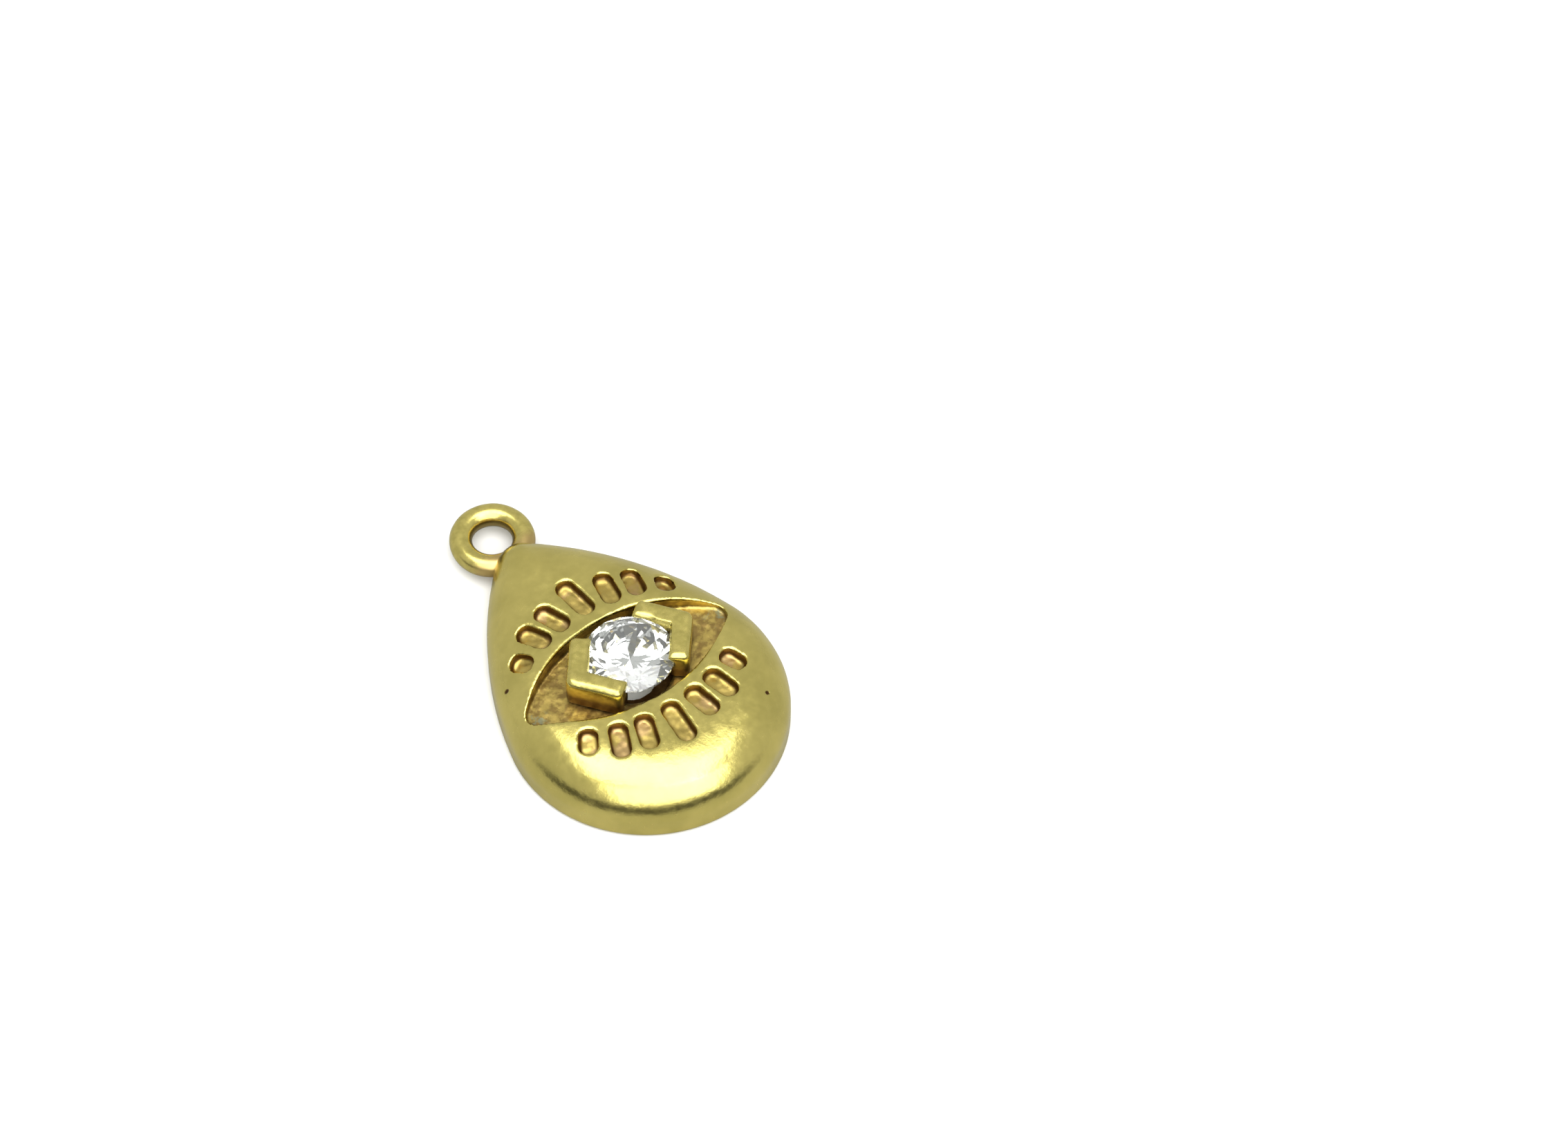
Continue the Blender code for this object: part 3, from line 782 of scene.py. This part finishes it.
def wire_brass():
    """Brass wire of the ring, blushed by the solder where it meets the tip, with painted shade on its inner
    side.
    """
    material = bpy.data.materials.new("wire_brass")
    finish = Finish(material)
    place = finish.place()
    mottle = finish.noise(place, 0.4, 4.0, 0.6)
    joint = 1 - (finish.along(place, "Y") + 0.5 * mottle).step(RING_MIDDLE.y - 1.0, RING_MIDDLE.y - 0.3)
    tone = finish.blend(mottle.step(0.35, 0.65), OLIVE_BRASS, BRASS)
    tone = finish.blend(joint * 0.6, tone, COPPER_BLUSH)
    # Painted shade: brown on the inner side of the ring.
    inner = finish.near(place, RING_MIDDLE, RING_RADIUS - WIRE_RADIUS, RING_RADIUS - 0.4 * WIRE_RADIUS)
    tone = finish.blend(inner * 0.7, tone, BROWN_TARNISH_AND_SHADE)
    roughness = 0.2 + 0.1 * mottle + 0.1 * joint
    normal = finish.bump(finish.noise(place, 0.2, 3.0), 0.004)
    finish.surface({"Base Color": tone, "Metallic": 1.0, "Roughness": roughness, "Normal": normal})
    return material


def clear_crystal():
    """Clear cubic zirconia, with a faint cool tint and a little milkiness."""
    material = bpy.data.materials.new("clear_crystal")
    finish = Finish(material)
    place = finish.place()
    cloud = finish.noise(place, 1.5, 2.0)
    tone = finish.blend(cloud, colour(0.93, 0.97, 0.96), colour(0.98, 1.0, 0.97))
    sockets = {"Base Color": tone, "Roughness": 0.0, "IOR": 2.15, "Transmission Weight": 0.93}
    finish.surface(sockets)
    return material


def white_floor():
    """Matt white paper, made darker where the brass mirrors it, and darkest further out on the near side."""
    material = bpy.data.materials.new("white_floor")
    finish = Finish(material)
    mirrored = Term(finish, finish.node("ShaderNodeLightPath").outputs["Is Glossy Ray"])
    near = towards(VIEW_AZIMUTH, 0.0)
    reach = finish.node("ShaderNodeVectorMath", {"operation": "DOT_PRODUCT"}, {0: finish.place(), 1: near})
    edge = Term(finish, reach.outputs["Value"]).step(DARK_FLOOR_START, DARK_FLOOR_END)
    reflected = finish.blend(edge, colour(0.35, 0.35, 0.34), colour(0.04, 0.04, 0.04))
    tone = finish.blend(mirrored, colour(0.9, 0.9, 0.9), reflected)
    finish.surface({"Base Color": tone, "Roughness": 0.9, "Specular IOR Level": 0.0})
    return material


# ---------------------------------------------------------------- studio


def towards(azimuth, elevation):
    """Direction from the charm, with azimuth 0 on the near side and 90 degrees on the right."""
    return Vector((sin(azimuth) * cos(elevation), -cos(azimuth) * cos(elevation), sin(elevation)))


def add_camera():
    """Camera with a long lens."""
    camera = bpy.data.cameras.new("camera")
    camera.lens = LENS
    camera.clip_start = 0.01
    camera.clip_end = 10.0
    obj = bpy.data.objects.new("camera", camera)
    back = towards(VIEW_AZIMUTH, VIEW_ELEVATION)
    obj.location = (Vector(VIEW_AIM) + back * VIEW_DISTANCE) * METRES
    obj.rotation_euler = (-back).to_track_quat("-Z", "Y").to_euler()
    bpy.context.scene.collection.objects.link(obj)
    bpy.context.scene.camera = obj


def add_softbox(name, azimuth, elevation, distance, width, height, radiance):
    """Rectangular soft light that faces the charm."""
    light = bpy.data.lights.new(name, "AREA")
    light.shape = "RECTANGLE"
    light.size = width
    light.size_y = height
    light.energy = radiance * pi * width * height
    obj = bpy.data.objects.new(name, light)
    back = towards(azimuth, elevation)
    obj.location = back * distance
    obj.rotation_euler = (-back).to_track_quat("-Z", "Y").to_euler()
    bpy.context.scene.collection.objects.link(obj)


def add_floor():
    """White table top under the charm."""
    bm = bmesh.new()
    bmesh.ops.create_grid(bm, x_segments=1, y_segments=1, size=FLOOR_SIZE)
    floor = as_object("floor", bm)
    floor.data.materials.append(white_floor())


def add_world():
    """Pale tent with a dark opening low down on the camera's side, which the camera itself sees as pale."""
    world = bpy.data.worlds.new("tent")
    bpy.context.scene.world = world
    finish = Finish(world)
    way = finish.node("ShaderNodeTexCoord").outputs["Generated"]
    near = towards(VIEW_AZIMUTH, 0.0)
    facing = finish.node("ShaderNodeVectorMath", {"operation": "DOT_PRODUCT"}, {0: way, 1: near})
    facing = Term(finish, facing.outputs["Value"])
    seen = Term(finish, finish.node("ShaderNodeLightPath").outputs["Is Camera Ray"])
    opening = (1 - finish.along(way, "Z").step(0.12, 0.3)) * facing.step(0.0, 0.5) * (1 - seen)
    tone = finish.blend(opening, colour(0.58, 0.58, 0.56), colour(0.05, 0.05, 0.05))
    shader = finish.node("ShaderNodeBackground", {}, {"Color": tone, "Strength": 1.0})
    finish.node("ShaderNodeOutputWorld", {}, {"Surface": shader.outputs["Background"]})


def build():
    """Build the charm and the studio around it."""
    blank = body_blank()
    dome = BVHTree.FromBMesh(blank)
    high = BODY_HEIGHT + CUT_OVERRUN
    cutters = [
        all_lashes(dome),
        recess_cutter(dome),
        upright_cylinder(STONE_RADIUS - SEAT_LEDGE, RECESS_FLOOR - SEAT_DEPTH, high),
        upright_cylinder(LIGHT_HOLE_RADIUS, -CUT_OVERRUN, RECESS_FLOOR),
        ring_shape(WIRE_RADIUS + SOLDER_GAP),
    ]
    body = carved("body", blank, cutters, BODY_CELL, BODY_SMOOTHING)
    roughen_body(body, dome)
    finish_piece(body, ["charm_body"], cast_brass())

    brass = prong_brass()
    for name, turn in (("prong_right", 0.0), ("prong_left", pi)):
        bar = prong_shape(turn)
        prong = carved(name + "_bar", bar, [pocket_for_stone()], PRONG_CELL, PRONG_SMOOTHING)
        wave_skin(prong, PRONG_WAVE_LENGTH, PRONG_WAVE_HEIGHT)
        finish_piece(prong, [name], brass)

    ring = as_object("ring", ring_shape(WIRE_RADIUS))
    wave_skin(ring, RING_WAVE_LENGTH, RING_WAVE_HEIGHT)
    finish_piece(ring, ["hanging_ring"], wire_brass())

    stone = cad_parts["stone"]
    stone.data.materials.clear()
    stone.data.materials.append(clear_crystal())

    add_floor()
    add_world()
    add_softbox(
        "overhead_softbox",
        VIEW_AZIMUTH,
        OVERHEAD_ELEVATION,
        LIGHT_DISTANCE,
        OVERHEAD_WIDTH,
        OVERHEAD_HEIGHT,
        OVERHEAD_RADIANCE,
    )
    add_softbox(
        "front_softbox",
        VIEW_AZIMUTH + FRONT_TURN,
        FRONT_ELEVATION,
        LIGHT_DISTANCE,
        FRONT_WIDTH,
        FRONT_HEIGHT,
        FRONT_RADIANCE,
    )
    add_camera()
    bpy.context.scene.view_settings.view_transform = "Standard"


build()
bpy.context.view_layer.update()
